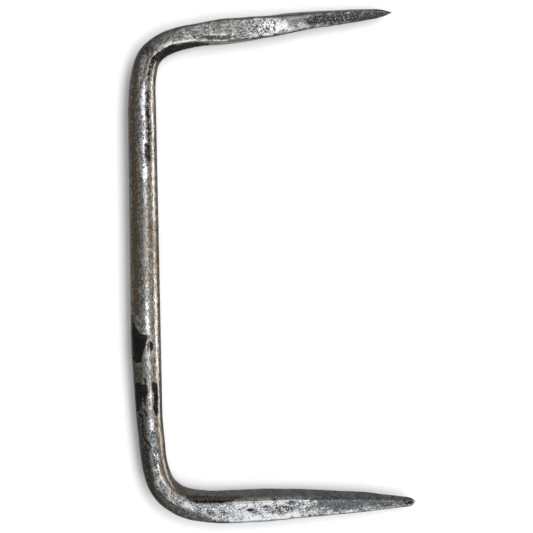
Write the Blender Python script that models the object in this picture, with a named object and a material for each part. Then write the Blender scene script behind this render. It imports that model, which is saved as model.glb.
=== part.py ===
"""A hand-forged steel timber dog, also called a log dog or cramp iron.

One round bar is bent at both ends, and each leg beyond a bend is drawn out to a four-sided point.
Metres, +Z up. The dog lies flat: spine along Y, both points towards +X, underside on z = 0.
"""

import math
from collections import namedtuple

import bmesh
import bpy
from mathutils import Vector

MM = 0.001
OBJECT_NAME = "timber_dog"
NODE_NAME = "forged_bar"

# Driving dimensions. Lengths are in bar diameters, so the whole dog follows the stock it is forged from.
BAR_DIAMETER = 12.0 * MM
START_HEADING = 183.0  # degrees from +X, looking from the upper point back along its leg
CORNER_POINTS = 7  # points on each of a section's four corners
ARC_STEP = 7.0  # degrees of bend or twist between one section and the next
ROUND_END_STEPS = 4  # sections that close the blunt lower point
SHARP_ANGLE = 30.0  # degrees: a corner over this is shaded as an edge
BLUNT_REACH = 0.24  # bar diameters that the blunt lower point goes beyond the last run

STEEL_COLOUR = (0.24, 0.23, 0.22, 1.0)
STEEL_ROUGHNESS = 0.5
STEEL_METALLIC = 1.0

# side: across the flats, in bar diameters. edge: 1 is a round section, 0 a sharp square.
# roll: degrees that the inner side is turned up. lift: the centre's height, in bar diameters.
Section = namedtuple("Section", "side edge roll lift")
# length in bar diameters, turn in degrees to the left, and the section at the run's far end.
Run = namedtuple("Run", "name length turn section")
# A cross-section placed along the bar: its centre in metres, its heading in radians and its shape.
Station = namedtuple("Station", "x y heading section")

UPPER_TIP = Section(0.06, 0.50, -15.0, 0.38)

RUNS = (
    Run("upper tip", 0.22, 1.5, Section(0.21, 0.50, -15.0, 0.38)),
    Run("upper point", 0.26, 1.0, Section(0.295, 0.50, -15.0, 0.38)),
    Run("upper point taper", 0.91, 0.0, Section(0.42, 0.40, -18.0, 0.38)),
    Run("upper leg, outer", 1.27, 0.0, Section(0.51, 0.40, -20.0, 0.385)),
    Run("upper leg, swell", 0.85, 5.0, Section(0.635, 0.40, -18.0, 0.39)),
    Run("upper leg, twist", 1.20, -4.0, Section(0.755, 0.40, -4.0, 0.395)),
    Run("upper leg", 1.08, 0.0, Section(0.78, 0.40, 3.0, 0.405)),
    Run("upper neck", 0.68, 1.0, Section(0.66, 0.40, 12.0, 0.43)),
    Run("upper shoulder", 1.02, 11.5, Section(0.65, 0.45, 26.0, 0.46)),
    Run("upper bend, leg side", 0.64, 20.0, Section(0.66, 0.50, 20.0, 0.47)),
    Run("upper bend", 0.59, 35.5, Section(0.78, 0.75, 8.0, 0.48)),
    Run("upper bend, spine side", 0.86, 13.5, Section(0.90, 1.0, 0.0, 0.485)),
    Run("upper spine", 0.66, 3.0, Section(0.95, 1.0, 0.0, 0.49)),
    Run("spine", 8.11, 0.0, Section(1.01, 1.0, 0.0, 0.505)),
    Run("lower spine", 2.37, 3.5, Section(0.88, 1.0, 0.0, 0.50)),
    Run("lower spine, foot", 1.33, 3.0, Section(0.86, 1.0, 0.0, 0.50)),
    Run("lower bend, spine side", 0.72, 12.0, Section(0.85, 0.80, 8.0, 0.50)),
    Run("lower bend", 0.95, 42.0, Section(0.79, 0.45, 22.0, 0.51)),
    Run("lower bend, leg side", 0.62, 19.0, Section(0.82, 0.30, 26.0, 0.53)),
    Run("lower shoulder", 1.10, 12.0, Section(0.87, 0.25, 24.0, 0.54)),
    Run("lower leg", 1.44, 0.0, Section(0.86, 0.25, 24.0, 0.54)),
    Run("lower leg, taper", 1.11, 0.0, Section(0.755, 0.25, 24.0, 0.53)),
    Run("lower leg, outer", 2.17, -2.5, Section(0.52, 0.30, 26.0, 0.51)),
    Run("lower point", 1.47, 0.0, Section(0.265, 0.50, 34.0, 0.49)),
)


def clear_scene():
    for thing in list(bpy.data.objects):
        bpy.data.objects.remove(thing, do_unlink=True)


def blend(first, last, share):
    """The section that lies at share of the way from the first to the last."""
    return Section(*(a + (b - a) * share for a, b in zip(first, last)))


def along_arc(length, turn):
    """How far an arc of this length and turn goes forwards and to the left."""
    if turn == 0.0:
        return length, 0.0
    radius = length / turn
    return radius * math.sin(turn), radius * (1.0 - math.cos(turn))


def bar_stations():
    """The bar's cross-sections from the upper point to the lower one, each run an arc or a straight."""
    x, y, heading = 0.0, 0.0, math.radians(START_HEADING)
    stations = [Station(x, y, heading, UPPER_TIP)]
    for run in RUNS:
        before = stations[-1].section
        change = max(abs(run.turn), abs(run.section.roll - before.roll))
        steps = max(1, math.ceil(change / ARC_STEP))
        ahead, aside = along_arc(run.length * BAR_DIAMETER / steps, math.radians(run.turn) / steps)
        for step in range(1, steps + 1):
            x += ahead * math.cos(heading) - aside * math.sin(heading)
            y += ahead * math.sin(heading) + aside * math.cos(heading)
            heading += math.radians(run.turn) / steps
            stations.append(Station(x, y, heading, blend(before, run.section, step / steps)))
    return stations


def beyond(station, reach):
    """The place this far past a station, straight on along its heading."""
    return (
        station.x + reach * math.cos(station.heading),
        station.y + reach * math.sin(station.heading),
    )


def blunt_end(last):
    """Sections that round off the bar beyond its last station, as a quarter of an ellipse."""
    rounded = []
    for step in range(1, ROUND_END_STEPS):
        angle = math.pi / 2 * step / ROUND_END_STEPS
        place = beyond(last, BLUNT_REACH * BAR_DIAMETER * math.sin(angle))
        section = last.section._replace(side=last.section.side * math.cos(angle))
        rounded.append(Station(*place, last.heading, section))
    return rounded


def corner_points(section):
    """A rounded square's outline, rolled, as (towards the inner side, up) pairs in metres."""
    half = section.side * BAR_DIAMETER / 2
    radius = half * section.edge
    roll = math.radians(section.roll)
    points = []
    for corner in range(4):
        middle = math.pi / 4 + corner * math.pi / 2
        reach = math.sqrt(2.0) * (half - radius)
        for index in range(CORNER_POINTS):
            angle = (index + 0.5) / CORNER_POINTS * math.pi / 2 + corner * math.pi / 2
            inward = reach * math.cos(middle + roll) + radius * math.cos(angle + roll)
            up = reach * math.sin(middle + roll) + radius * math.sin(angle + roll)
            points.append((inward, up))
    return points


def add_ring(mesh, station):
    """One section's vertices, in the upright plane across the bar."""
    inner_x, inner_y = -math.sin(station.heading), math.cos(station.heading)
    height = station.section.lift * BAR_DIAMETER
    return [
        mesh.verts.new((station.x + inward * inner_x, station.y + inward * inner_y, height + up))
        for inward, up in corner_points(station.section)
    ]


def join_rings(mesh, first, last):
    """A band of four-cornered faces between two sections."""
    count = len(first)
    for index in range(count):
        after = (index + 1) % count
        mesh.faces.new((first[index], last[index], last[after], first[after]))


def close_end(mesh, ring, place, lift):
    """A fan of triangles from an end section to the point at this place and height."""
    tip = mesh.verts.new((*place, lift * BAR_DIAMETER))
    count = len(ring)
    for index in range(count):
        mesh.faces.new((ring[index], ring[(index + 1) % count], tip))


def forged_bar_mesh():
    """The whole bar as one closed skin: a loft through its sections, with a point at each end."""
    mesh = bmesh.new()
    stations = bar_stations()
    upper, lower = stations[0], stations[-1]
    rings = [add_ring(mesh, station) for station in stations + blunt_end(lower)]
    for first, last in zip(rings, rings[1:]):
        join_rings(mesh, first, last)
    upper_reach = -upper.section.side * BAR_DIAMETER
    close_end(mesh, rings[0], beyond(upper, upper_reach), upper.section.lift)
    close_end(mesh, rings[-1], beyond(lower, BLUNT_REACH * BAR_DIAMETER), lower.section.lift)
    bmesh.ops.recalc_face_normals(mesh, faces=mesh.faces)
    return mesh


def stand_on_floor(mesh):
    """Puts the middle of the outline over the origin and the lowest point on z = 0."""
    places = [vertex.co for vertex in mesh.verts]
    middle = [(min(p[i] for p in places) + max(p[i] for p in places)) / 2 for i in (0, 1)]
    floor = min(p.z for p in places)
    bmesh.ops.translate(mesh, vec=-Vector((*middle, floor)), verts=mesh.verts)


def steel():
    material = bpy.data.materials.new("forged_steel")
    material.use_nodes = True
    shader = material.node_tree.nodes["Principled BSDF"]
    shader.inputs["Base Color"].default_value = STEEL_COLOUR
    shader.inputs["Roughness"].default_value = STEEL_ROUGHNESS
    shader.inputs["Metallic"].default_value = STEEL_METALLIC
    return material


def build():
    clear_scene()
    collection = bpy.data.collections.new(OBJECT_NAME)
    bpy.context.scene.collection.children.link(collection)
    solid = forged_bar_mesh()
    stand_on_floor(solid)
    mesh = bpy.data.meshes.new(NODE_NAME)
    solid.to_mesh(mesh)
    solid.free()
    mesh.shade_smooth()
    mesh.set_sharp_from_angle(angle=math.radians(SHARP_ANGLE))
    mesh.materials.append(steel())
    collection.objects.link(bpy.data.objects.new(NODE_NAME, mesh))


build()
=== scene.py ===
"""The looks of the forged timber dog: its hammered, pitted and scaled steel skin, lit on a pale floor.

Metres, +Z up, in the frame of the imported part. The dog is one piece of steel, so one skin replaces its
one CAD node. The skin is swept through the CAD's own sections, then hammered, pitted and flaked.
Places on it are given as a distance along the bar, in bar diameters from the upper point, and a share
across the bar as the camera sees it, from -1 on the outer side to 1 on the inner side.
"""

import math
from collections import namedtuple

import bmesh
import bpy
import numpy as np
from mathutils import Euler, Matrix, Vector, noise


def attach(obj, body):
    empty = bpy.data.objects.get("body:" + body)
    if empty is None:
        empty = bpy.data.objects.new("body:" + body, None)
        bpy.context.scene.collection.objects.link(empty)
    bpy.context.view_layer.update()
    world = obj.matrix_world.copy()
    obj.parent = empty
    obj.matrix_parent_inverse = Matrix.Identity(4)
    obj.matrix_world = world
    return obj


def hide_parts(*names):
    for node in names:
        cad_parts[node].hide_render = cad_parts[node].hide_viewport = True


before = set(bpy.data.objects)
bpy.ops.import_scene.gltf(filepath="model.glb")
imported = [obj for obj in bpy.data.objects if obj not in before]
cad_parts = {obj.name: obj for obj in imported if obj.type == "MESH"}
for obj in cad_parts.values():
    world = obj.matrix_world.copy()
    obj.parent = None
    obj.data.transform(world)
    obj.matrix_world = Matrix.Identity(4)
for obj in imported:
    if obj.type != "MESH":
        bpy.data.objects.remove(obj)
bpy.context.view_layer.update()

MM = 0.001
NODE = "forged_bar"
BODY = "root"
PIECE = "forged_skin"
BAR_DIAMETER = 12.0 * MM
TINY = 1e-9  # keeps a divisor away from zero

# The skin's grid. Together they keep the piece under 200,000 triangles.
RINGS = 900
SPOKES = 110
SEAM_ANGLE = -math.pi / 2  # the grid's seam runs along the underside
MERGE_DISTANCE = 0.001 * MM
FACET_SPOKES = 4  # spokes in one of the CAD section's 28 sides, averaged to round them off
SECTION_SMOOTHING = 1.2 * MM  # along the bar, so that one run's taper flows into the next
SMOOTHING_REACH = 3.0  # how many times that distance the smoothing takes in
SLIMMEST = 0.01 * MM  # least half width that a share across the bar is taken of
UPPER_SIDE = (-0.15, 0.05)  # a face's upward tilt where the placed finishes end, and where they are whole

# The camera, straight above the dog, and its lens and sensor in millimetres.
EYE = (-2.16 * MM, -0.47 * MM, 608.0 * MM)
LENS = 100.0
SENSOR_WIDTH = 36.0

# A patch of one finish: how ragged its edges are in millimetres, how strong it is, and its outline as
# places on the bar, each (bar diameters along, share across).
Patch = namedtuple("Patch", "ragged strength outline")
# A dent: its middle on the bar, and its length, width and depth in millimetres.
Dent = namedtuple("Dent", "along across length width depth")
# Noise over the skin: the size of its largest lumps in metres, its seed and its octaves.
Lumps = namedtuple("Lumps", "size seed octaves", defaults=(3,))
# Random pits: a pit's width and depth at most, in metres, their seed, and the share of cells that have one.
Pits = namedtuple("Pits", "width depth seed share")
# A random finish on the hidden faces: the levels of noise over which it comes in, and its strength.
Blotches = namedtuple("Blotches", "low high strength")


def smoothstep(low, high, value):
    """0 up to low, 1 from high on, and smooth between them."""
    share = np.clip((value - low) / (high - low), 0.0, 1.0)
    return share * share * (3.0 - 2.0 * share)


# ---------------------------------------------------------------- the CAD's sections


def cad_graph():
    """The CAD bar's corners, welded, and each one's neighbours."""
    mesh = bmesh.new()
    mesh.from_mesh(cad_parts[NODE].data)
    bmesh.ops.remove_doubles(mesh, verts=mesh.verts, dist=MERGE_DISTANCE)
    mesh.verts.ensure_lookup_table()
    mesh.verts.index_update()
    places = np.array([vertex.co for vertex in mesh.verts])
    neighbours = [[edge.other_vert(vertex).index for edge in vertex.link_edges] for vertex in mesh.verts]
    mesh.free()
    return places, neighbours


def cad_rings():
    """The CAD's sections in order from the upper point, each an array of corners, found by walking the
    mesh outwards from the point."""
    places, neighbours = cad_graph()
    upper_half = np.flatnonzero(places[:, 1] > 0.0)
    tip = int(upper_half[places[upper_half, 0].argmax()])
    reached = {tip}
    ring = [tip]
    rings = []
    while ring:
        rings.append(places[ring])
        following = {other for corner in ring for other in neighbours[corner]} - reached
        reached |= following
        ring = sorted(following)
    return rings


def headings_through(centres):
    """The level direction of travel at each centre, as an unbroken angle."""
    ahead = np.gradient(centres, axis=0)
    return np.unwrap(np.arctan2(ahead[:, 1], ahead[:, 0]))


def ring_heading(ring, roughly):
    """The exact level direction across a flat ring of corners, near the rough one."""
    if len(ring) < 3:
        return roughly
    level = ring[:, :2] - ring[:, :2].mean(axis=0)
    across = np.linalg.svd(level)[2][0]
    heading = math.atan2(-across[0], across[1])
    half_turns = round((roughly - heading) / math.pi)
    return heading + half_turns * math.pi


def polar_radii(corners, angles):
    """How far a convex section reaches from its centre at each angle."""
    order = np.argsort(np.arctan2(corners[:, 1], corners[:, 0]))
    ring = corners[order]
    sides = np.roll(ring, -1, axis=0) - ring
    normals = np.stack([sides[:, 1], -sides[:, 0]], axis=1)
    distances = (normals * ring).sum(axis=1)
    towards = np.stack([np.cos(angles), np.sin(angles)], axis=1) @ normals.T
    reaches = np.where(towards > TINY, distances / np.maximum(towards, TINY), np.inf)
    return reaches.min(axis=1)


def rounded_off(radii):
    """The radii averaged over one facet's width, which takes the CAD's facets out of a round section."""
    half = FACET_SPOKES // 2
    total = sum(np.roll(radii, shift, axis=-1) for shift in range(-half + 1, half))
    ends = (np.roll(radii, half, axis=-1) + np.roll(radii, -half, axis=-1)) / 2.0
    return (total + ends) / FACET_SPOKES


def section_radii(ring, centre, heading, angles):
    """How far one of the CAD's sections reaches at each angle, measured from its inner side upwards."""
    if len(ring) < 3:
        return np.zeros(len(angles))
    inner = np.array([-math.sin(heading), math.cos(heading), 0.0])
    level = (ring - centre) @ inner
    raised = ring[:, 2] - centre[2]
    return rounded_off(polar_radii(np.stack([level, raised], axis=1), angles))


def between_rings(knots, values, places):
    """Values at places between the rings, on straight lines from ring to ring."""
    index = np.clip(np.searchsorted(knots, places, side="right") - 1, 0, len(knots) - 2)
    share = (places - knots[index]) / (knots[index + 1] - knots[index])
    share = share.reshape((-1,) + (1,) * (values.ndim - 1))
    return values[index] * (1.0 - share) + values[index + 1] * share


def softened(rows, spacing):
    """Rows blurred along the bar, with both ends held where they are."""
    reach = int(SMOOTHING_REACH * SECTION_SMOOTHING / spacing)
    offsets = np.arange(-reach, reach + 1) * spacing
    weights = np.exp(-0.5 * (offsets / SECTION_SMOOTHING) ** 2)
    weights /= weights.sum()
    padded = np.pad(rows, ((reach, reach), (0, 0)), mode="reflect", reflect_type="odd")
    return sum(weight * padded[i : i + len(rows)] for i, weight in enumerate(weights))


def travelled(steps):
    """The distance gone at the start and after each step."""
    return np.concatenate([[0.0], np.cumsum(steps)])


class Sweep:
    """The bar's bare form as a grid of rings and spokes, and where each point of it lies on the bar."""

    def __init__(self):
        rings = cad_rings()
        centres = np.array([ring.mean(axis=0) for ring in rings])
        turned = np.array([ring_heading(*of) for of in zip(rings, headings_through(centres))])
        self.angles = SEAM_ANGLE + np.arange(SPOKES) * 2.0 * math.pi / SPOKES
        radii = np.array([section_radii(*of, self.angles) for of in zip(rings, centres, turned)])
        steps = np.hypot(np.linalg.norm(np.diff(centres, axis=0), axis=1), np.diff(radii.mean(axis=1)))
        knots = travelled(steps)
        places = np.linspace(0.0, knots[-1], RINGS)
        spacing = places[1]
        self.centres = softened(between_rings(knots, centres, places), spacing)
        self.headings = softened(between_rings(knots, turned[:, None], places), spacing)[:, 0]
        self.radii = np.maximum(softened(between_rings(knots, radii, places), spacing), 0.0)
        self.along = travelled(np.linalg.norm(np.diff(self.centres, axis=0), axis=1)) / BAR_DIAMETER
        self.level = self.radii * np.cos(self.angles)
        self.raised = self.radii * np.sin(self.angles)
        self.widest = self.radii.max(axis=1)[:, None]
        self.seen = self.seen_places()
        self.upper_side = self.facing_up()

    def points(self, radii):
        """The grid's points at these radii, as rings x spokes x 3."""
        inner = np.stack([-np.sin(self.headings), np.cos(self.headings), np.zeros(RINGS)], axis=1)
        level = (radii * np.cos(self.angles))[..., None] * inner[:, None, :]
        raised = (radii * np.sin(self.angles))[..., None] * np.array([0.0, 0.0, 1.0])
        return self.centres[:, None, :] + level + raised

    def straightened(self):
        """Where each point would lie if the bar were straight: along it, across it and up, in metres."""
        along = np.broadcast_to(self.along[:, None] * BAR_DIAMETER, self.radii.shape)
        return np.stack([along, self.level, self.raised], axis=-1)

    def seen_places(self):
        """Where each point appears on the bar from the camera: its distance along, in bar diameters, and
        its share across. A raised point appears further from the middle of the view."""
        half = np.maximum(np.abs(self.level).max(axis=1), SLIMMEST)[:, None]
        outward = (self.centres[:, :2] - np.array(EYE[:2])) / EYE[2]
        ahead = np.stack([np.cos(self.headings), np.sin(self.headings)], axis=1)
        inner = np.stack([-np.sin(self.headings), np.cos(self.headings)], axis=1)
        along = self.along[:, None] + self.raised * (outward * ahead).sum(axis=1)[:, None] / BAR_DIAMETER
        across = (self.level + self.raised * (outward * inner).sum(axis=1)[:, None]) / half
        return along, across

    def facing_up(self):
        """1 where the bare form faces up, 0 where it faces down."""
        sideways = np.roll(self.level, -1, axis=1) - np.roll(self.level, 1, axis=1)
        upwards = np.roll(self.raised, -1, axis=1) - np.roll(self.raised, 1, axis=1)
        tilt = -sideways / np.maximum(np.hypot(sideways, upwards), TINY)
        return smoothstep(*UPPER_SIDE, tilt)


def on_legs(along, upper, lower):
    """1 on both legs and 0 on the spine, fading over these two stretches of the bar."""
    return 1.0 - smoothstep(*upper, along) * (1.0 - smoothstep(*lower, along))


# ---------------------------------------------------------------- noise over the skin

OCTAVE_FALL = 1.0  # each octave of noise is weaker than the one before by the ratio to this power
OCTAVE_RATIO = 2.0  # and finer by the ratio itself
NOISE_SHIFT = Vector((17.3, -9.1, 5.7))  # how far a seed moves the noise
CELL_SHIFT = Vector((-3.9, 8.2, 21.4))  # how far a seed moves the cells
CELL_SCATTER = 7.31  # spreads the cells' middles, so that each one's value is its own


def noise_over(points, lumps):
    """Fractal noise of about -1 to 1 at each point."""
    shift = NOISE_SHIFT * lumps.seed
    octaves = (OCTAVE_FALL, OCTAVE_RATIO, lumps.octaves)
    values = [noise.fractal(Vector(point) + shift, *octaves) for point in points.reshape(-1, 3) / lumps.size]
    return np.array(values).reshape(points.shape[:-1])


def cells_over(points, size, seed):
    """Each point's distance from the middle of its nearest random cell, in metres, and a value from 0 to 1
    that is that cell's own."""
    shift = CELL_SHIFT * seed
    distances, values = [], []
    for point in points.reshape(-1, 3) / size:
        near, middles = noise.voronoi(Vector(point) + shift)
        distances.append(near[0] * size)
        values.append(noise.cell(middles[0] * CELL_SCATTER + shift))
    shape = points.shape[:-1]
    return np.array(distances).reshape(shape), np.abs(np.array(values)).reshape(shape)


# ---------------------------------------------------------------- marks on the skin

# Where scale has flaked off and left a near-black floor. The second patch, dark over the upper bend's inner
# side, is painted shade.
BLACK = (
    Patch(0.2, 0.8, ((-0.1, -1.2), (0.1, -1.2), (0.16, 0.0), (0.1, 1.2), (-0.1, 1.2))),
    # Painted shade: near-black over the upper bend's inner side
    Patch(0.45, 0.66, (
        (6.25, 0.86), (6.8, 0.62), (7.2, 0.4), (8.0, 0.22), (8.5, 0.2), (9.0, 0.24), (9.4, 0.38),
        (9.45, 0.56), (9.0, 0.56), (8.6, 0.66), (8.3, 1.1), (6.3, 1.1),
    )),
    Patch(0.55, 0.71, (
        (9.3, 0.42), (9.7, 0.3), (10.5, 0.26), (11.2, 0.34), (11.5, 0.36), (11.55, 0.6), (10.4, 0.58),
        (9.4, 0.56),
    )),
    Patch(0.6, 0.68, ((11.45, 0.24), (11.75, 0.04), (12.1, 0.3), (12.2, 0.6), (11.5, 0.6))),
    Patch(0.2, 1.0, (
        (17.7, -0.93), (17.4, -0.84), (17.55, -0.76), (17.75, -0.6), (17.9, -0.42), (17.95, 0.08),
        (18.12, 0.08), (18.2, -0.05), (18.36, -0.1), (18.5, -0.2), (18.62, -0.24), (18.9, -0.36),
        (18.92, -0.72), (18.76, -0.93),
    )),
    Patch(0.1, 1.0, (
        (18.12, 0.2), (18.2, 0.4), (18.35, 0.52), (18.48, 0.44), (18.56, 0.3), (18.46, 0.25), (18.35, 0.23),
        (18.22, 0.2),
    )),
    Patch(0.05, 0.9, ((18.12, 0.1), (18.2, 0.17), (18.5, 0.17), (18.6, 0.08), (18.5, 0.07), (18.35, 0.08))),
    Patch(0.1, 1.0, (
        (19.36, -0.24), (19.42, -0.12), (19.56, -0.12), (19.62, -0.2), (19.55, -0.3), (19.42, -0.3),
    )),
    Patch(0.2, 1.0, (
        (19.62, -0.96), (19.5, -0.8), (19.52, -0.7), (19.62, -0.45), (19.6, -0.12), (19.9, -0.03),
        (20.03, -0.13), (20.15, -0.2), (20.28, -0.24), (20.5, -0.26), (20.66, -0.16), (20.74, -0.26),
        (20.58, -0.39), (20.3, -0.37), (20.08, -0.42), (20.4, -0.66), (20.56, -0.8), (20.5, -0.96),
    )),
    Patch(0.05, 1.0, (
        (20.54, -0.8), (20.62, -0.5), (20.87, -0.47), (21.1, -0.56), (21.32, -0.58), (21.46, -0.46),
        (21.6, -0.2), (21.74, -0.14), (21.72, -0.28), (21.58, -0.5), (21.42, -0.68), (21.1, -0.7),
        (20.87, -0.6), (20.74, -0.62), (20.68, -0.82),
    )),
    Patch(0.2, 0.9, ((31.5, -0.3), (31.66, 0.1), (31.78, 0.2), (31.9, -0.1), (31.8, -0.6), (31.6, -0.75))),
    Patch(0.15, 1.0, (
        (19.55, 0.36), (19.65, 0.28), (19.89, 0.34), (20.01, 0.4), (20.25, 0.38), (20.48, 0.32),
        (20.6, 0.38), (20.76, 0.54), (20.7, 0.64), (20.48, 0.68), (19.77, 0.71), (19.6, 0.66),
    )),
    Patch(0.35, 0.72, ((24.2, 0.1), (25.3, 0.2), (26.2, 0.46), (25.4, 0.46), (24.8, 0.44), (24.2, 0.34))),
)
# Thick blue scale that the file and the hammer haven't reached.
SCALE = (
    Patch(0.6, 1.0, (
        (0.0, -0.7), (0.7, -0.62), (1.3, -0.62), (2.0, -0.64), (2.5, -0.62), (2.85, -0.5), (3.05, -0.08),
        (3.0, 0.3), (2.85, 0.6), (2.5, 0.72), (1.5, 0.95), (0.8, 1.2), (0.0, 1.2),
    )),
    Patch(0.9, 0.62, ((20.95, 0.14), (21.2, 0.0), (22.2, -0.08), (22.4, 0.1), (22.0, 0.34), (21.2, 0.32))),
    Patch(0.4, 0.8, ((27.4, 0.2), (27.5, 0.02), (27.8, -0.02), (27.95, 0.1), (27.8, 0.24))),
    Patch(1.2, 0.85, (
        (28.8, 0.5), (28.35, 0.25), (28.65, 0.05), (28.35, -0.2), (28.9, -0.62), (29.4, -0.75), (30.3, -0.5),
        (31.3, -0.65), (32.0, -0.6), (32.0, 0.52),
    )),
)
# Ridges and flats rubbed down to bright steel.
WORN = (
    Patch(0.7, 0.9, (
        (3.38, 0.86), (3.38, 0.5), (3.55, 0.0), (3.7, -0.45), (3.85, -0.62), (4.25, -0.62), (4.4, -0.86),
        (5.2, -0.86), (5.18, -0.55), (4.95, -0.15), (4.9, 0.9),
    )),
    Patch(0.5, 0.42, ((2.95, 0.5), (3.1, 0.15), (3.3, 0.3), (3.25, 0.75), (3.0, 0.75))),
    Patch(0.4, 0.9, ((5.95, -0.55), (6.15, -0.75), (6.45, -0.75), (6.3, -0.2), (5.9, -0.02))),
    Patch(0.3, 1.0, (
        (6.7, 0.35), (6.75, -0.2), (7.05, -0.6), (7.35, -0.6), (7.2, -0.1), (7.1, 0.3), (6.9, 0.45),
    )),
    Patch(0.3, 0.75, ((7.42, 0.1), (7.6, -0.2), (7.95, -0.25), (8.15, -0.2), (8.2, 0.15), (7.8, 0.3))),
    Patch(0.3, 0.9, ((5.35, 0.85), (5.4, 0.6), (5.6, 0.6), (5.6, 0.9))),
    Patch(0.6, 0.4, ((11.9, 0.28), (12.9, 0.28), (12.9, 0.6), (12.1, 0.62))),
    Patch(0.6, 0.4, ((15.0, 0.3), (18.9, 0.3), (19.5, 0.4), (19.5, 0.6), (15.0, 0.6))),
    Patch(0.15, 1.0, ((21.15, -0.25), (21.65, -0.32), (21.7, -0.15), (21.2, -0.02))),
    Patch(0.3, 1.0, ((20.9, -0.12), (22.3, -0.2), (22.3, 0.42), (21.4, 0.48), (20.9, 0.2))),
    Patch(0.3, 1.0, (
        (22.0, 0.25), (22.0, 0.0), (22.6, -0.18), (23.3, -0.32), (24.0, -0.38), (24.6, -0.4), (24.6, 0.1),
        (23.9, 0.14), (22.9, 0.24), (22.2, 0.28),
    )),
    Patch(0.6, 0.5, ((24.6, -0.5), (24.6, -0.35), (25.3, -0.4), (25.4, -1.1), (25.1, -0.95))),
    Patch(0.4, 0.95, (
        (24.5, -0.38), (24.6, 0.1), (25.3, 0.2), (25.9, 0.43), (26.3, 0.52), (28.4, 0.5), (28.5, 0.0),
        (28.4, -0.5), (28.5, -1.1), (25.5, -1.1), (25.2, -0.5),
    )),
    Patch(1.0, 0.5, ((28.3, -1.1), (28.3, 0.45), (29.0, 0.3), (29.2, -0.4), (29.6, -0.8), (29.6, -1.1))),
    Patch(0.5, 0.8, (
        (28.5, -1.1), (28.5, -0.6), (29.0, -0.55), (29.4, -0.8), (30.3, -0.5), (30.5, -0.75), (31.1, -0.65),
        (31.6, -0.8), (31.6, -1.1),
    )),
)
# Two laps, where steel has been folded over by the hammer along the upper leg's inner edge.
UPPER_LAP = ((5.45, 0.3), (5.9, 0.28), (6.5, 0.12), (6.5, -0.08), (5.9, 0.1), (5.45, 0.24))
LOWER_LAP_CREST = ((5.65, 0.93), (6.0, 0.86), (6.3, 0.77), (6.57, 0.66), (6.88, 0.48))
LOWER_LAP_TAIL = ((7.3, 0.3), (7.9, 0.12), (7.9, 0.0), (7.2, 0.14))
LOWER_LAP_FOOT = ((6.88, 0.3), (6.57, 0.48), (6.3, 0.6), (6.0, 0.68), (5.65, 0.76))
LAPPED = (
    Patch(0.10, 1.0, UPPER_LAP),
    Patch(0.10, 1.0, LOWER_LAP_CREST + LOWER_LAP_FOOT),
)
# Ridges and streaks rubbed so much that they are smooth.
POLISHED = (
    Patch(0.1, 1.2, UPPER_LAP),
    Patch(0.1, 1.3, LOWER_LAP_CREST + LOWER_LAP_TAIL + LOWER_LAP_FOOT),
    Patch(0.1, 0.8, ((4.95, 0.86), (6.0, 0.92), (6.3, 0.86), (6.3, 1.3), (4.95, 1.3))),
    Patch(0.5, 0.8, (
        (9.3, 0.1), (9.9, -0.1), (11.4, -0.12), (12.4, -0.04), (13.1, 0.12), (12.4, 0.3), (11.4, 0.28),
        (9.9, 0.3),
    )),
    Patch(0.5, 0.7, ((16.8, 0.1), (17.4, -0.1), (17.95, -0.22), (17.95, 0.3), (17.4, 0.25))),
    Patch(0.3, 0.3, (
        (18.4, 0.05), (19.3, 0.0), (20.1, -0.05), (21.1, 0.0), (21.1, 0.3), (20.0, 0.34), (18.4, 0.28),
    )),
    Patch(0.4, 0.35, ((13.1, 0.08), (14.2, 0.06), (15.4, 0.1), (15.4, 0.22), (14.2, 0.2), (13.1, 0.22))),
    Patch(0.4, 0.3, ((3.5, 0.8), (3.55, -0.2), (3.7, -0.6), (4.0, -0.6), (3.95, 0.8))),
    Patch(0.4, 0.4, (
        (20.9, -0.12), (22.3, -0.2), (23.3, -0.34), (24.4, -0.38), (24.4, 0.08), (23.3, 0.16), (22.3, 0.36),
        (21.4, 0.42), (20.9, 0.2),
    )),
    Patch(0.4, 1.0, ((24.88, -0.08), (25.06, -0.06), (25.06, -0.28), (24.88, -0.3))),
    Patch(0.6, 1.0, (
        (25.7, 0.16), (26.2, 0.26), (26.75, 0.32), (27.4, 0.3), (27.4, 0.02), (26.75, -0.04), (26.2, -0.1),
        (25.8, -0.1),
    )),
    Patch(0.5, 1.0, (
        (26.05, -0.52), (26.55, -0.54), (26.85, -0.62), (27.9, -0.7), (28.1, -1.2), (26.0, -1.2),
    )),
)
# Where rubbed steel is speckled with dark pits.
SPECKED = (
    Patch(0.5, 1.0, (
        (4.15, 0.5), (4.2, -0.1), (4.3, -0.3), (4.75, -0.4), (4.9, 0.0), (4.7, 0.4), (4.4, 0.7),
    )),
    Patch(0.5, 0.6, ((6.0, -0.8), (6.0, 0.0), (7.4, 0.2), (7.4, -0.6))),
    Patch(0.5, 0.6, ((9.3, -0.2), (9.3, 0.3), (11.9, 0.3), (11.9, -0.2))),
    Patch(0.5, 0.9, ((12.0, -0.2), (12.0, 0.3), (13.4, 0.3), (13.4, -0.2))),
    Patch(0.5, 0.9, ((19.3, -0.2), (19.3, 0.4), (20.9, 0.4), (20.9, -0.2))),
    Patch(0.5, 1.4, ((20.9, -0.2), (20.9, 0.5), (22.3, 0.4), (22.6, 0.1), (22.3, -0.3))),
    Patch(0.5, 0.8, ((22.3, -0.3), (22.3, 0.3), (23.4, 0.1), (23.4, -0.5))),
    Patch(0.5, 0.8, ((24.3, -1.1), (24.3, 0.1), (25.3, 0.1), (25.6, -0.3), (25.5, -1.1))),
    Patch(0.5, 1.0, ((26.2, -0.5), (26.3, -0.1), (27.0, 0.05), (28.8, 0.2), (29.2, -0.6), (27.5, -0.55))),
)
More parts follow.
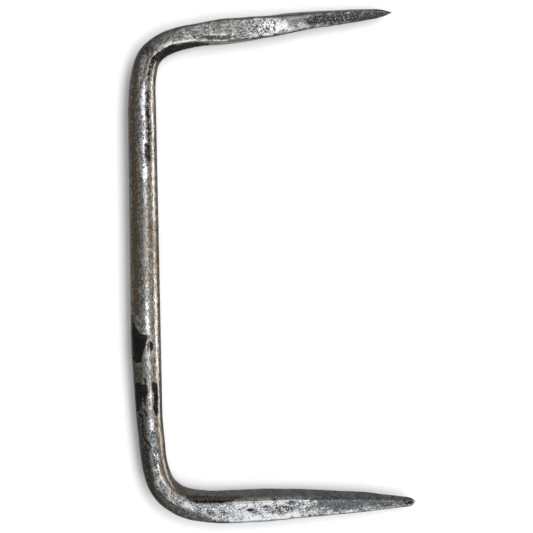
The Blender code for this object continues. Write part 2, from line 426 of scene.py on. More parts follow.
# A thin film of brown rust.
BROWN = (
    Patch(0.8, 0.9, ((8.5, -0.75), (9.5, -0.85), (17.3, -0.85), (17.3, -0.4), (14.0, -0.35), (9.0, -0.45))),
    Patch(0.8, 0.5, ((11.4, 0.3), (14.5, 0.2), (16.5, 0.3), (17.0, 0.4), (16.5, 0.56), (11.4, 0.56))),
    Patch(0.8, 0.85, ((14.0, 0.65), (15.2, 0.55), (16.4, 0.65), (16.7, 0.8), (15.5, 0.95), (14.3, 0.85))),
    Patch(0.8, 0.55, ((20.4, 0.6), (21.0, 0.35), (23.3, 0.25), (24.2, 0.3), (24.0, 0.85), (21.0, 0.85))),
    Patch(0.8, 0.6, ((8.4, 0.55), (9.2, 0.58), (9.2, 0.95), (8.4, 0.95))),
    Patch(0.8, 0.45, ((13.3, -0.45), (16.4, -0.45), (16.2, 0.3), (13.6, 0.3))),
    Patch(0.5, 0.5, ((19.0, -0.9), (19.0, -0.35), (19.6, -0.35), (19.6, -0.9))),
    Patch(0.3, 0.9, ((24.2, -0.45), (24.5, -0.45), (24.5, 0.05), (24.2, 0.1))),
)
# Soot and fire-black under a thin oil film. Two patches are painted shade instead: one over the upper bend's
# inner side and one along the spine's outer edge beside the first recess.
SOOT_AND_PAINTED_SHADE = (
    Patch(0.6, 1.0, (
        (19.0, -1.2), (19.0, -0.8), (20.5, -0.45), (22.0, -0.3), (23.0, -0.36), (24.0, -0.42), (24.6, -0.5),
        (24.9, -0.75), (26.1, -1.0), (26.1, -1.2),
    )),
    Patch(0.15, 1.0, (
        (5.5, 0.45), (5.65, 0.32), (6.0, 0.22), (6.4, 0.2), (6.55, 0.32), (6.3, 0.5), (5.9, 0.62),
        (5.55, 0.66),
    )),
    Patch(0.3, 0.45, ((2.75, -0.9), (2.85, 0.1), (3.35, 0.4), (3.7, -0.3), (3.8, -0.7))),
    Patch(0.6, 0.5, ((7.0, -1.2), (7.0, -0.85), (8.1, -0.55), (8.6, -0.5), (9.2, -0.9), (9.2, -1.2))),
    Patch(0.6, 0.9, ((8.15, -1.0), (8.25, -0.2), (8.5, -0.1), (8.55, -0.9))),
    Patch(0.4, 0.9, ((-0.1, -1.2), (0.6, -1.2), (0.9, -0.6), (0.6, -0.4), (0.1, 1.2), (-0.1, 1.2))),
    Patch(0.15, 0.9, ((3.9, 0.92), (4.9, 0.9), (4.9, 1.3), (3.9, 1.3))),
    Patch(0.15, 0.9, ((23.9, -0.86), (25.0, -0.92), (25.9, -0.94), (25.9, -1.2), (23.9, -1.2))),
    Patch(0.6, 0.6, ((8.3, -0.15), (9.5, -0.15), (9.5, 0.32), (8.3, 0.32))),
    Patch(0.6, 0.45, ((19.2, 0.62), (20.9, 0.48), (22.0, 0.42), (22.8, 0.38), (22.8, 1.1), (19.2, 1.1))),
    Patch(0.6, 0.45, ((19.0, -0.9), (19.0, -0.15), (19.8, -0.15), (20.6, -0.55), (20.6, -0.9))),
    # Painted shade: darkens the spine's outer edge beside the first recess
    Patch(0.4, 0.9, ((17.2, -1.2), (17.2, -0.84), (17.5, -0.72), (19.0, -0.72), (19.2, -1.2))),
    # Painted shade: darkens the upper bend's inner side, over the near-black there
    Patch(0.45, 0.9, (
        (6.25, 0.86), (6.8, 0.62), (7.2, 0.4), (8.0, 0.24), (8.5, 0.26), (9.0, 0.3), (9.4, 0.42),
        (9.45, 0.58), (9.0, 0.58), (8.6, 0.66), (8.3, 1.1), (6.3, 1.1),
    )),
    Patch(0.4, 1.0, ((24.2, 0.14), (25.3, 0.22), (26.35, 0.5), (25.9, 0.6), (24.8, 0.66), (24.0, 0.56))),
)
# Steel rubbed long ago, that has yellowed since.
TARNISHED = (
    Patch(1.0, 1.0, ((5.2, -1.2), (5.2, 1.2), (9.0, 1.2), (9.0, -1.2))),
)
# Faces left smooth by the hammer.
CALM = (
    Patch(0.3, 1.0, (
        (2.75, -1.2), (2.8, -0.75), (3.1, 0.1), (3.35, 0.3), (3.55, 0.0), (3.7, -0.5), (3.9, -0.65),
        (5.2, -0.95), (5.2, -1.2),
    )),
    Patch(0.3, 1.0, ((6.4, -1.2), (6.6, -0.75), (8.1, -0.5), (8.15, -1.2))),
    Patch(0.2, 0.9, ((23.8, 0.3), (26.2, 0.54), (31.8, 0.5), (31.8, 1.2), (23.8, 1.2))),
    Patch(0.2, 1.0, ((3.0, 0.85), (4.3, 0.9), (4.3, 1.2), (3.0, 1.2))),
    Patch(0.2, 0.8, ((20.65, -0.4), (21.6, -0.5), (21.6, -0.2), (20.75, -0.05))),
)
# Dents that stand apart from the random pits.
DENTS = (
    Dent(4.02, -0.2, 0.9, 1.9, 0.15),
    Dent(4.06, 0.3, 0.6, 3.2, 0.15),
    Dent(4.04, 0.8, 1.0, 1.2, 0.15),
    Dent(4.35, 0.5, 0.7, 0.7, 0.15),
    Dent(8.35, -0.7, 1.5, 2.0, 0.15),
    Dent(9.42, -0.2, 1.4, 0.7, 0.15),
    Dent(10.3, -0.18, 0.9, 0.6, 0.12),
    Dent(19.5, -0.18, 1.9, 0.8, 0.15),
    Dent(22.02, 0.22, 1.0, 0.8, 0.2),
    Dent(22.6, 0.05, 0.9, 0.7, 0.2),
    Dent(24.93, -0.45, 1.0, 1.0, 0.25),
    Dent(26.3, -0.27, 3.2, 1.5, 0.35),
    Dent(26.85, -0.11, 1.6, 0.9, 0.3),
    Dent(27.5, -0.18, 1.5, 1.1, 0.35),
    Dent(27.7, 0.15, 3.4, 1.5, 0.08),
    Dent(28.7, -0.1, 1.2, 0.6, 0.15),
    Dent(31.55, 0.1, 1.3, 1.6, 0.2),
)
FINISHES = {
    "black": BLACK,
    "scale": SCALE,
    "worn": WORN,
    "lapped": LAPPED,
    "polished": POLISHED,
    "specked": SPECKED,
    "brown": BROWN,
    "soot_and_shade": SOOT_AND_PAINTED_SHADE,
    "tarnished": TARNISHED,
    "calm": CALM,
}
PATCH_FADE = 0.8  # millimetres over which a patch fades, for the material to break up

# What pushes a patch's edge in and out: noise of two sizes, and whole flakes.
EDGE_SWAY = Lumps(2.2 * MM, 3)
EDGE_RIPPLE = Lumps(0.7 * MM, 4)
RIPPLE_SHARE = 0.5
FLAKE_SIZE = 1.1 * MM
FLAKE_SEED = 9
FLAKE_SHARE = 1.4

# The relief: hammered hollows and rough grain all over, random pits, chosen dents, laps and recesses.
HAMMERING = Lumps(7.0 * MM, 1, 2)
HAMMER_DEPTH = 0.09 * MM
SPINE_HAMMERING = 0.35  # the share of it on the spine; the legs have this and the whole of it besides
ROUGHNESS = Lumps(1.6 * MM, 2)
ROUGH_DEPTH = 0.04 * MM
SPINE_ROUGHNESS = 0.5  # the share of it, and of the random pits' depth, on the spine
CALM_LOSS = 0.75  # the share of both that a calm face loses
COARSE_PITS = Pits(1.6 * MM, 0.14 * MM, 6, 0.30)
FINE_PITS = Pits(0.9 * MM, 0.07 * MM, 7, 0.6)
PIT_SPACING = 1.6  # the size of a pit's cell, in widths of a pit
PIT_SIDE = (0.3, 1.0)  # where a pit's side slopes, in shares of the way from its middle to its rim
DENT_WOBBLE = Lumps(0.9 * MM, 8)
DENT_SWAY = 0.3  # how far that noise moves a dent's rim, as a share of the way to it
DENT_SIDE = (0.4, 1.15)  # the same as PIT_SIDE, for a dent
RECESS_DEPTH = 0.20 * MM
RECESS_SIDE = (0.25, 0.75)  # the strengths of its mark over which a recess goes down
LAP_HEIGHT = 0.20 * MM
LAP_SIDE = (0.30, 0.85)  # the strengths of its mark over which a lap rises
SWELL = 0.05 * MM  # what the whole skin stands out by, to make up for its pits
DIRTY_DEPTH = 0.12 * MM  # a pit this deep is full of dirt
SLIM_RADII = (0.3, 1.6)  # millimetres: relief comes in as the bar thickens from one to the other

# Stretches of the bar, in bar diameters, over which the legs' relief and the ends' scale fade out.
LEG_RELIEF = ((6.5, 9.0), (21.0, 24.0))
END_SCALE = ((5.0, 7.0), (24.0, 26.0))

# The sides and the underside, where no patch is placed.
HIDDEN_BROAD = Lumps(14.0 * MM, 11)
HIDDEN_BROAD_EDGE = Lumps(2.0 * MM, 12)
BROAD_EDGE_SHARE = 0.3
HIDDEN_SMALL = Lumps(9.0 * MM, 13)
HIDDEN_SMALL_EDGE = Lumps(1.5 * MM, 14)
SMALL_EDGE_SHARE = 0.4
HIDDEN_BROWN = Blotches(-0.1, 0.4, 0.8)
HIDDEN_SOOT = Blotches(0.1, 0.5, 0.7)
HIDDEN_WORN = Blotches(0.35, 0.6, 0.8)
HIDDEN_SCALE = Blotches(0.15, 0.5, 0.7)
HIDDEN_BLACK = Blotches(0.55, 0.7, 0.9)


def outline_depth(outline, along, across, half):
    """How far each point lies inside an outline, in millimetres, or minus how far outside it."""
    corners = np.array(outline)
    nearest = np.full(across.shape, np.inf)
    inside = np.zeros(across.shape, bool)
    for (s0, u0), (s1, u1) in zip(corners, np.roll(corners, -1, axis=0)):
        step_s, step_u = (s1 - s0) * BAR_DIAMETER, (u1 - u0) * half
        off_s, off_u = (along - s0) * BAR_DIAMETER, (across - u0) * half
        share = np.clip((off_s * step_s + off_u * step_u) / (step_s**2 + step_u**2), 0.0, 1.0)
        nearest = np.minimum(nearest, np.hypot(off_s - share * step_s, off_u - share * step_u))
        crossing = (u0 > across) != (u1 > across)
        if u0 != u1:
            inside ^= crossing & (along < s0 + (across - u0) / (u1 - u0) * (s1 - s0))
    return np.where(inside, nearest, -nearest) / MM


def ragged_mask(patch, sweep, wobble):
    """How much of a patch covers each point, with edges pushed in and out by the noise in wobble."""
    depth = outline_depth(patch.outline, *sweep.seen, sweep.widest)
    shown = smoothstep(-PATCH_FADE, PATCH_FADE, depth + patch.ragged * wobble)
    return shown * patch.strength * sweep.upper_side


def covered(patches, sweep, wobble):
    """The strongest of several patches at each point."""
    return np.max([ragged_mask(patch, sweep, wobble) for patch in patches], axis=0)


def hidden_marks(sweep, points):
    """Finishes for the sides and the underside, where no patch is placed: random blotches of each."""
    hidden = 1.0 - sweep.upper_side
    ends = on_legs(sweep.along, *END_SCALE)[:, None]
    broad = noise_over(points, HIDDEN_BROAD) + BROAD_EDGE_SHARE * noise_over(points, HIDDEN_BROAD_EDGE)
    small = noise_over(points, HIDDEN_SMALL) + SMALL_EDGE_SHARE * noise_over(points, HIDDEN_SMALL_EDGE)

    def blotches(kind, level):
        return hidden * smoothstep(kind.low, kind.high, level) * kind.strength

    return {
        "brown": blotches(HIDDEN_BROWN, broad),
        "soot_and_shade": blotches(HIDDEN_SOOT, -broad),
        "worn": blotches(HIDDEN_WORN, small),
        "scale": blotches(HIDDEN_SCALE, -small) * ends,
        "black": blotches(HIDDEN_BLACK, -small),
    }


def skin_marks(sweep, points):
    """The finish masks of the whole skin, by name."""
    flakes = cells_over(points, FLAKE_SIZE, FLAKE_SEED)[1] - 0.5
    ripple = noise_over(points, EDGE_RIPPLE)
    wobble = noise_over(points, EDGE_SWAY) + RIPPLE_SHARE * ripple + FLAKE_SHARE * flakes
    marks = {name: covered(patches, sweep, wobble) for name, patches in FINISHES.items()}
    for name, values in hidden_marks(sweep, points).items():
        marks[name] = np.maximum(marks[name], values)
    marks["worn"] = np.maximum(marks["worn"], marks["polished"])
    return marks


# ---------------------------------------------------------------- relief


def dented(sweep, wobble):
    """How deep the chosen dents are at each point, in metres."""
    along, across = sweep.seen
    depth = np.zeros(sweep.radii.shape)
    for dent in DENTS:
        off_s = (along - dent.along) * BAR_DIAMETER / (0.5 * dent.length * MM)
        off_u = (across - dent.across) * sweep.widest / (0.5 * dent.width * MM)
        away = np.hypot(off_s, off_u) + DENT_SWAY * wobble
        shape = 1.0 - smoothstep(*DENT_SIDE, away)
        depth = np.maximum(depth, shape * dent.depth * MM * sweep.upper_side)
    return depth


def pitting(points, pits):
    """How deep the random pits are at each point. Each is round, and at least half the full width."""
    distance, value = cells_over(points, pits.width * PIT_SPACING, pits.seed)
    radius = pits.width * (0.25 + 0.25 * value)
    shape = 1.0 - smoothstep(*PIT_SIDE, distance / radius)
    return np.where(value < pits.share, pits.depth * shape, 0.0)


def skin_relief(sweep, points, marks):
    """How far each point stands out from the bare form, in metres, and how pitted it is."""
    legs = on_legs(sweep.along, *LEG_RELIEF)[:, None]
    rough_share = (1.0 - CALM_LOSS * marks["calm"]) * (SPINE_ROUGHNESS + (1.0 - SPINE_ROUGHNESS) * legs)
    hammered = noise_over(points, HAMMERING) * HAMMER_DEPTH * (SPINE_HAMMERING + legs)
    rough = noise_over(points, ROUGHNESS) * ROUGH_DEPTH * rough_share
    random_pits = np.maximum(pitting(points, COARSE_PITS), pitting(points, FINE_PITS)) * rough_share
    pits = np.maximum(random_pits, dented(sweep, noise_over(points, DENT_WOBBLE)))
    recess = smoothstep(*RECESS_SIDE, marks["black"]) * RECESS_DEPTH
    laps = smoothstep(*LAP_SIDE, marks["lapped"]) * LAP_HEIGHT
    slim = smoothstep(*SLIM_RADII, sweep.radii.mean(axis=1) / MM)[:, None]
    relief = hammered + rough + laps - pits - recess + SWELL
    return relief * slim, np.clip(pits / DIRTY_DEPTH, 0.0, 1.0)


# ---------------------------------------------------------------- the skin's mesh


def grid_faces():
    """Four-cornered faces from each ring to the next. Point 0 is the upper end, so the rings start at 1."""
    ring = np.arange(RINGS - 3)[:, None] * SPOKES + 1
    spoke = np.arange(SPOKES)[None, :]
    after = (spoke + 1) % SPOKES
    corners = [ring + spoke, ring + after, ring + SPOKES + after, ring + SPOKES + spoke]
    return np.stack(corners, axis=-1).reshape(-1, 4).tolist()


def end_fans(last):
    """A fan of triangles at each end, from the outermost ring to the end point, 0 or last."""
    fans = []
    for spoke in range(SPOKES):
        after = (spoke + 1) % SPOKES
        fans.append((0, 1 + after, 1 + spoke))
        fans.append((last, last - SPOKES + spoke, last - SPOKES + after))
    return fans


def listed(grid):
    """The grid's values point by point, with each end's ring as one point."""
    rings = grid[1:-1].reshape(-1, *grid.shape[2:])
    return np.concatenate([grid[:1, 0], rings, grid[-1:, 0]])


def keep_marks(mesh, marks):
    """Stores each mark on the mesh's points, for the material to read."""
    for name, values in marks.items():
        kind, field = ("FLOAT_VECTOR", "vector") if values.ndim == 3 else ("FLOAT", "value")
        attribute = mesh.attributes.new(name, kind, "POINT")
        attribute.data.foreach_set(field, listed(values).ravel().astype(np.float32))


def face_outwards(mesh):
    """Turns every face's normal outwards."""
    solid = bmesh.new()
    solid.from_mesh(mesh)
    bmesh.ops.recalc_face_normals(solid, faces=solid.faces)
    solid.to_mesh(mesh)
    solid.free()


def skin_mesh(points, marks):
    """One closed skin through the grid, with each end's ring drawn together to a point."""
    places = listed(points)
    mesh = bpy.data.meshes.new(PIECE)
    mesh.from_pydata(places.tolist(), [], grid_faces() + end_fans(len(places) - 1))
    keep_marks(mesh, marks)
    mesh.update()
    face_outwards(mesh)
    mesh.shade_smooth()
    return mesh


def forged_skin():
    """The finished skin, without its material."""
    sweep = Sweep()
    bare = sweep.points(sweep.radii)
    marks = skin_marks(sweep, bare)
    relief, marks["pit"] = skin_relief(sweep, bare, marks)
    marks["straightened"] = sweep.straightened()
    points = sweep.points(np.maximum(sweep.radii + relief, 0.0))
    piece = bpy.data.objects.new(PIECE, skin_mesh(points, marks))
    bpy.context.scene.collection.objects.link(piece)
    return piece


# ---------------------------------------------------------------- materials


class Graph:
    """Adds nodes to a material's tree and returns their outputs."""

    def __init__(self, name):
        self.material = bpy.data.materials.new(name)
        self.material.use_nodes = True
        self.tree = self.material.node_tree
        self.shader = self.tree.nodes["Principled BSDF"]
        self.place = self.tree.nodes.new("ShaderNodeTexCoord").outputs["Object"]

    def feed(self, socket, value):
        """Joins an output to the socket, or sets the socket to a number or a colour."""
        if isinstance(value, bpy.types.NodeSocket):
            self.tree.links.new(value, socket)
        elif isinstance(value, tuple) and socket.type == "RGBA":
            socket.default_value = (*value, 1.0)
        else:
            socket.default_value = value

    def mark(self, name):
        """One of the skin's marks, as a number."""
        node = self.tree.nodes.new("ShaderNodeAttribute")
        node.attribute_name = name
        return node.outputs["Fac"]

    def straightened(self, stretch):
        """Places on the straightened bar, squeezed along it so that a texture there comes out stretched."""
        node = self.tree.nodes.new("ShaderNodeAttribute")
        node.attribute_name = "straightened"
        squeezed = self.tree.nodes.new("ShaderNodeVectorMath")
        squeezed.operation = "MULTIPLY"
        self.feed(squeezed.inputs[0], node.outputs["Vector"])
        squeezed.inputs[1].default_value = (1.0 / stretch, 1.0, 1.0)
        return squeezed.outputs["Vector"]

    def noise(self, texture, place=None):
        node = self.tree.nodes.new("ShaderNodeTexNoise")
        self.feed(node.inputs["Vector"], place or self.place)
        node.inputs["Scale"].default_value = 1.0 / texture.size
        node.inputs["Detail"].default_value = texture.detail
        node.inputs["Roughness"].default_value = texture.rough
        return node.outputs["Fac"]

    def maths(self, operation, *values):
        node = self.tree.nodes.new("ShaderNodeMath")
        node.operation = operation
        for socket, value in zip(node.inputs, values):
            self.feed(socket, value)
        return node.outputs["Value"]

    def sum(self, first, second, scale=1.0):
        """first + second * scale"""
        return self.maths("MULTIPLY_ADD", second, scale, first)

    def centred(self, texture):
        """A texture that averages a half, made to average nothing."""
        return self.maths("SUBTRACT", texture, 0.5)

    def between(self, value, low, high, to_low=0.0, to_high=1.0):
        """Goes smoothly from to_low to to_high as the value goes from low to high."""
        node = self.tree.nodes.new("ShaderNodeMapRange")
        node.interpolation_type = "SMOOTHSTEP"
        self.feed(node.inputs["Value"], value)
        self.feed(node.inputs["From Min"], low)
        self.feed(node.inputs["From Max"], high)
        self.feed(node.inputs["To Min"], to_low)
        self.feed(node.inputs["To Max"], to_high)
        return node.outputs["Result"]

    def lines(self, value, middle, width):
        """1 along the contour where the value is the middle one, falling to 0 this far from it."""
        away = self.maths("ABSOLUTE", self.maths("SUBTRACT", value, middle))
        return self.between(away, 0.4 * width, width, 1.0, 0.0)

    def patch(self, name, texture, sway, soft=0.10):
        """Where a marked finish shows, its mark's edge moved about by a texture that averages a half."""
        moved = self.sum(self.mark(name), self.centred(texture), sway)
        return self.between(moved, 0.5 - soft, 0.5 + soft)

    def shade(self, colour, value):
        """The colour made darker or lighter by the value."""
        node = self.tree.nodes.new("ShaderNodeVectorMath")
        node.operation = "SCALE"
        self.feed(node.inputs[0], colour)
        self.feed(node.inputs["Scale"], value)
        return node.outputs["Vector"]

    def tint(self, share, first, second):
        """The first colour, going over to the second as the share goes from 0 to 1."""
        node = self.tree.nodes.new("ShaderNodeMix")
        node.data_type = "RGBA"
        self.feed(node.inputs["Factor"], share)
        self.feed(node.inputs["A"], first)
        self.feed(node.inputs["B"], second)
        return node.outputs["Result"]

    def level(self, share, first, second):
        """The first number, going over to the second as the share goes from 0 to 1."""
        node = self.tree.nodes.new("ShaderNodeMix")
        self.feed(node.inputs["Factor"], share)
        self.feed(node.inputs["A"], first)
        self.feed(node.inputs["B"], second)
        return node.outputs["Result"]

    def bump(self, height, distance, strength, normal=None):
        node = self.tree.nodes.new("ShaderNodeBump")
        self.feed(node.inputs["Strength"], strength)
        node.inputs["Distance"].default_value = distance
        self.feed(node.inputs["Height"], height)
        if normal is not None:
            self.feed(node.inputs["Normal"], normal)
        return node.outputs["Normal"]


PATINA_LIGHT = (0.335, 0.333, 0.316)
PATINA_DARK = (0.165, 0.162, 0.150)
CALM_STEEL = (0.215, 0.215, 0.210)
RUST_FILM = (0.160, 0.124, 0.092)
# Also the colour of painted shade, where the dark film's patches stand in for it
SOOT_AND_SHADE_FILM = (0.075, 0.070, 0.062)
BRIGHT_STEEL = (0.620, 0.632, 0.645)
TARNISHED_STEEL = (0.640, 0.632, 0.605)
RUBBED_STEEL = (0.330, 0.340, 0.346)
CURL_STEEL = (0.240, 0.250, 0.260)
TARNISHED_CURL = (0.225, 0.225, 0.218)
DARK_SPECK = (0.034, 0.036, 0.038)
BLUE_SCALE = (0.028, 0.030, 0.030)
GREY_SCALE = (0.088, 0.099, 0.110)
SCALE_SPECK = (0.250, 0.258, 0.255)
# Also painted shade, on the upper bend's inner side
RECESS_AND_SHADE_BLACK = (0.008, 0.008, 0.008)
RECESS_BROWN = (0.030, 0.025, 0.019)
# A pale rim round the recesses: partly edge wear, partly a painted highlight on the flakes' rims
FLAKE_RIM_WEAR_AND_HIGHLIGHT = (0.420, 0.425, 0.420)
PIT_DIRT = (0.028, 0.025, 0.022)

PATINA_ROUGHNESS = 0.30
RUST_ROUGHNESS = 0.36
WORN_ROUGHNESS = 0.25
SCALE_ROUGHNESS = 0.36
RECESS_ROUGHNESS = 0.55
SCALE_METALLIC = 0.8
GRIME_METALLIC = 0.3  # in a black recess and in a dirty pit
STEEL_GLOSS = 0.5
RECESS_GLOSS = 0.10
PIT_GLOSS = 0.2
GRAIN_BUMP = 0.07 * MM
SPECKLE_BUMP = 0.09 * MM

# The steel's textures: each one's size in metres, detail and roughness.
Texture = namedtuple("Texture", "size detail rough")
GRAIN = Texture(0.45 * MM, 2.0, 0.60)
SPECKLE = Texture(0.80 * MM, 3.0, 0.65)
STREAK = Texture(0.55 * MM, 2.0, 0.60)
BLOTCH = Texture(2.60 * MM, 3.0, 0.60)
CURL = Texture(1.15 * MM, 2.0, 0.50)
WORM = Texture(1.50 * MM, 1.0, 0.50)
STREAK_STRETCH = 3.0  # how many times longer than wide a streak is


class Steel(Graph):
    """Greenish grey patina under a film of rust and sooty fire-black, rubbed bright in places, with flakes
    of blue-black scale and the recesses that such flakes left. Part of the dark film and of the near-black
    is painted shade, on the upper bend's inner side and the spine's outer edge, and the pale rim round each
    recess is partly a painted highlight. Each finish is laid over those before it.
    The textures average a half, and each finish breaks up where a sum of them passes a level."""

    def __init__(self):
        super().__init__("forged_steel")
        self.grain = self.noise(GRAIN)
        self.speckle = self.noise(SPECKLE)
        self.streak = self.noise(STREAK, self.straightened(STREAK_STRETCH))
        self.blotch = self.noise(BLOTCH)
        self.fine = self.maths("MULTIPLY", self.sum(self.speckle, self.grain), 0.5)
        self.drawn = self.maths("MULTIPLY", self.sum(self.fine, self.streak), 0.5)
        self.grainy = self.between(self.grain, 0.38, 0.62, 0.6, 1.4)
        self.polished = self.between(self.mark("polished"), 0.80, 1.00)
        self.colour = self.patina()
        self.levels = {"rough": PATINA_ROUGHNESS, "metallic": 1.0, "gloss": STEEL_GLOSS}
        self.lay_rust_soot_and_shade()
        self.lay_worn_steel()
        self.lay_scale()
        self.lay_recesses()
        self.lay_pit_dirt()
        self.feed_shader()

    def lay(self, share, colour, **levels):
        """Lays a finish over those before it, as far as the share goes from 0 to 1."""
        self.colour = self.tint(share, self.colour, colour)
        for name, value in levels.items():
            self.levels[name] = self.level(share, self.levels[name], value)

    def patina(self):
        """Mottled and streaked along the bar, and plainer where the hammer left the steel calm."""
        mottle = self.between(self.sum(self.drawn, self.blotch, 0.5), 0.62, 0.88)
        streaks = self.between(self.sum(self.grain, self.streak), 0.80, 1.20, 0.45, 1.50)
        patina = self.shade(self.tint(mottle, PATINA_DARK, PATINA_LIGHT), streaks)
        drift = self.between(self.sum(self.drawn, self.blotch), 0.80, 1.20, 0.68, 1.32)
        return self.tint(self.mark("calm"), patina, self.shade(CALM_STEEL, drift))

    def lay_rust_soot_and_shade(self):
        rust = self.patch("brown", self.drawn, 1.4, 0.45)
        # The dark film's mark is partly painted shade: on the upper bend's inner side and along the spine's
        # outer edge
        soot_and_shade = self.patch("soot_and_shade", self.fine, 2.0, 0.30)
        self.lay(rust, self.shade(RUST_FILM, self.grainy), rough=RUST_ROUGHNESS)
        self.lay(soot_and_shade, self.shade(SOOT_AND_SHADE_FILM, self.grainy))

    def rubbed_steel(self):
        """Bright where it is cleanest or polished, grey elsewhere, with fine grey curls where it is matt."""
        clean = self.between(self.sum(self.fine, self.blotch, 0.7), 0.72, 0.90)
        tarnished = self.mark("tarnished")
        bright = self.tint(tarnished, BRIGHT_STEEL, TARNISHED_STEEL)
        rubbed = self.tint(self.maths("MAXIMUM", clean, self.polished), RUBBED_STEEL, bright)
        matt = self.between(self.mark("polished"), 0.10, 0.40, 1.0, 0.0)
        curls = self.maths("MULTIPLY", self.lines(self.noise(CURL), 0.5, 0.070), matt)
        return self.tint(curls, rubbed, self.tint(tarnished, CURL_STEEL, TARNISHED_CURL))

    def dark_specks(self):
        """Where rubbed steel keeps dark specks and worm-like lines, more of them where it is specked."""
        specked = self.mark("specked")
        wormy = self.between(self.sum(self.blotch, specked, -0.1), 0.50, 0.44)
        worms = self.maths("MULTIPLY", self.lines(self.noise(WORM), 0.5, 0.045), wormy)
        light = self.sum(self.sum(self.fine, self.blotch, 0.35), specked, -0.08)
        light = self.sum(light, self.polished, 0.05)
        return self.maths("MAXIMUM", worms, self.between(light, 0.565, 0.545))

    def lay_worn_steel(self):
        texture = self.sum(self.fine, self.centred(self.blotch), 0.5)
        worn = self.patch("worn", texture, 2.5, 0.20)
        self.lay(worn, self.tint(self.dark_specks(), self.rubbed_steel(), DARK_SPECK), rough=WORN_ROUGHNESS)

    def lay_scale(self):
        """Flecked scale: blue-black where its mark is strongest, and a grey film where it is weaker."""
        heavy = self.between(self.mark("scale"), 0.80, 1.0)
        scale = self.patch("scale", self.fine, 3.0)
        flecks = self.between(self.sum(self.speckle, self.blotch, 0.4), 0.83, 0.88)
        film = self.shade(self.tint(heavy, GREY_SCALE, BLUE_SCALE), self.grainy)
        flecked = self.tint(flecks, film, SCALE_SPECK)
        self.lay(scale, flecked, rough=SCALE_ROUGHNESS, metallic=SCALE_METALLIC)

    def lay_recesses(self):
        """The near-black floor of each recess, inside a pale rim along the broken edge of the scale around
        it. The rim is partly edge wear and partly a painted highlight where a flake's rim would catch the
        light; on the upper bend's inner side the near-black is painted shade.
        """
        edge = self.sum(self.mark("black"), self.centred(self.fine), 3.0)
        # Painted highlight, partly edge wear: a pale rim where the flakes' edges would catch the light
        self.lay(self.maths("MULTIPLY", self.lines(edge, 0.32, 0.14), 0.6), FLAKE_RIM_WEAR_AND_HIGHLIGHT)
        black = self.patch("black", self.fine, 2.2, 0.07)
        brown = self.between(self.sum(self.fine, self.blotch), 1.0, 1.2)
        # Near-black floors; on the upper bend's inner side this is painted shade
        floor = self.tint(brown, RECESS_AND_SHADE_BLACK, RECESS_BROWN)
        self.lay(black, floor, rough=RECESS_ROUGHNESS, metallic=GRIME_METALLIC, gloss=RECESS_GLOSS)

    def lay_pit_dirt(self):
        dirt = self.between(self.sum(self.mark("pit"), self.grain, 0.6), 0.60, 1.10)
        self.lay(dirt, PIT_DIRT, metallic=GRIME_METALLIC, gloss=PIT_GLOSS)

    def grain_bumps(self):
        """A fine grain, weakest where the steel is calm or worn."""
        flat = self.maths("MAXIMUM", self.mark("calm"), self.maths("MULTIPLY", self.mark("worn"), 0.6))
        bumpy = self.between(flat, 0.0, 1.0, 1.0, 0.2)
        bumps = self.bump(self.grain, GRAIN_BUMP, bumpy)
        return self.bump(self.speckle, SPECKLE_BUMP, bumpy, bumps)

    def feed_shader(self):
        inputs = self.shader.inputs
        self.feed(inputs["Base Color"], self.colour)
        self.feed(inputs["Roughness"], self.levels["rough"])
        self.feed(inputs["Metallic"], self.levels["metallic"])
        self.feed(inputs["Specular IOR Level"], self.levels["gloss"])
        self.feed(inputs["Normal"], self.grain_bumps())


# ---------------------------------------------------------------- floor, light and camera

FLOOR_SIZE = 8.0
FLOOR_COLOUR = (0.92, 0.92, 0.92)
WHITE = (1.0, 1.0, 1.0)
AMBIENT = 0.54
ROOM_COLOUR = (0.34, 0.328, 0.310)
CARD_DISTANCE = 1.2

# A softbox that shines on the steel's gloss only. leans are the degrees that its middle leans from
# overhead, first towards +Y and then towards +X; spans are the degrees that it takes up in Y and in X.
Softbox = namedtuple("Softbox", "name leans spans colour strength")
SOFTBOXES = (
    Softbox("overhead_card", (0.0, 20.0), (28.0, 21.0), WHITE, 3.7),
    Softbox("far_card", (36.0, 6.0), (44.0, 44.0), (0.98, 0.99, 1.0), 1.3),
    Softbox("near_card", (-48.0, 6.0), (66.0, 56.0), (0.97, 0.985, 1.0), 1.4),
    Softbox("warm_card", (0.0, 95.0), (70.0, 9.0), (1.0, 0.94, 0.88), 15.0),
    Softbox("warm_fill_card", (0.0, 58.0), (100.0, 54.0), (1.0, 0.91, 0.82), 0.66),
)
# A light that only the floor and dull surfaces see: the degrees that it leans towards +X and +Y, the
# degrees that it takes up, and its strength.
Sun = namedtuple("Sun", "name right far softness strength")
SUNS = (
    Sun("middle_sun", 29.0, 0.0, 34.0, 1.0),
    Sun("far_sun", 27.0, 28.0, 28.0, 0.95),
    Sun("near_sun", 27.0, -28.0, 28.0, 0.90),
)


def pale_floor_material():
    floor = Graph("pale_floor")
    floor.feed(floor.shader.inputs["Base Color"], FLOOR_COLOUR)
    floor.shader.inputs["Roughness"].default_value = 1.0
    floor.shader.inputs["Specular IOR Level"].default_value = 0.0
    return floor.material


def pale_floor():
    bpy.ops.mesh.primitive_plane_add(size=FLOOR_SIZE, location=(0.0, 0.0, 0.0))
    floor = bpy.context.active_object
    floor.name = "pale_floor"
    floor.data.materials.append(pale_floor_material())
    floor.visible_glossy = False


def glow(name, colour, strength):
    """A material that only gives light."""
    material = bpy.data.materials.new(name)
    material.use_nodes = True
    nodes = material.node_tree.nodes
    nodes.remove(nodes["Principled BSDF"])
    light = nodes.new("ShaderNodeEmission")
    light.inputs["Color"].default_value = (*colour, 1.0)
    light.inputs["Strength"].default_value = strength
    material.node_tree.links.new(light.outputs["Emission"], nodes["Material Output"].inputs["Surface"])
    return material


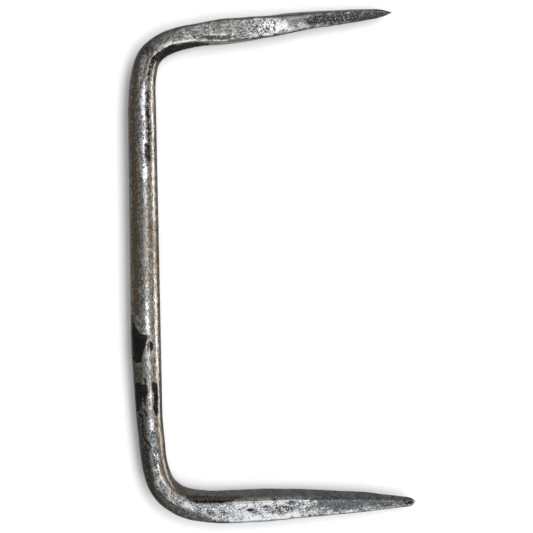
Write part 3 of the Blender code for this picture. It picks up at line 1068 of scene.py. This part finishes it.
def hang(softbox):
    """Puts up a softbox as a glowing card that faces the dog, CARD_DISTANCE from it."""
    towards_y, towards_x = (math.radians(lean) for lean in softbox.leans)
    high, wide = (2.0 * CARD_DISTANCE * math.tan(math.radians(span / 2.0)) for span in softbox.spans)
    turn = Euler((-towards_y, towards_x, 0.0), "XYZ")
    bpy.ops.mesh.primitive_plane_add(size=1.0)
    card = bpy.context.active_object
    card.name = softbox.name
    card.rotation_euler = turn
    card.location = turn.to_matrix() @ Vector((0.0, 0.0, CARD_DISTANCE))
    card.scale = (wide, high, 1.0)
    card.data.materials.append(glow(softbox.name, softbox.colour, softbox.strength))
    card.visible_camera = False
    card.visible_diffuse = False
    card.visible_shadow = False


def light_up(sun):
    light = bpy.data.lights.new(sun.name, "SUN")
    light.energy = sun.strength
    light.angle = math.radians(sun.softness)
    lamp = bpy.data.objects.new(sun.name, light)
    towards = Vector((math.tan(math.radians(sun.right)), math.tan(math.radians(sun.far)), 1.0))
    lamp.rotation_euler = towards.to_track_quat("Z", "Y").to_euler()
    lamp.visible_glossy = False
    bpy.context.scene.collection.objects.link(lamp)


def background(node, colour, strength):
    """Sets a background node's light and returns its output."""
    node.inputs["Color"].default_value = (*colour, 1.0)
    node.inputs["Strength"].default_value = strength
    return node.outputs["Background"]


def surroundings():
    """White to the camera, a soft even light on dull surfaces, and a dim room in the steel's gloss."""
    world = bpy.data.worlds.new("studio")
    bpy.context.scene.world = world
    world.use_nodes = True
    tree = world.node_tree
    rays = tree.nodes.new("ShaderNodeLightPath")
    shown = background(tree.nodes["Background"], WHITE, AMBIENT)
    for ray, seen in (("Is Glossy Ray", ROOM_COLOUR), ("Is Camera Ray", WHITE)):
        instead = background(tree.nodes.new("ShaderNodeBackground"), seen, 1.0)
        mixed = tree.nodes.new("ShaderNodeMixShader")
        tree.links.new(rays.outputs[ray], mixed.inputs["Fac"])
        tree.links.new(shown, mixed.inputs[1])
        tree.links.new(instead, mixed.inputs[2])
        shown = mixed.outputs["Shader"]
    tree.links.new(shown, tree.nodes["World Output"].inputs["Surface"])


def camera():
    """Not turned, so it looks straight down and has +Y at the top."""
    lens = bpy.data.cameras.new("camera")
    lens.lens = LENS
    lens.sensor_width = SENSOR_WIDTH
    eye = bpy.data.objects.new("camera", lens)
    eye.location = EYE
    bpy.context.scene.collection.objects.link(eye)
    bpy.context.scene.camera = eye


# ---------------------------------------------------------------- the scene


def build():
    skin = forged_skin()
    skin.data.materials.append(Steel().material)
    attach(skin, BODY)
    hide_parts(NODE)
    pale_floor()
    surroundings()
    for softbox in SOFTBOXES:
        hang(softbox)
    for sun in SUNS:
        light_up(sun)
    camera()
    bpy.context.scene.view_settings.view_transform = "Standard"


build()
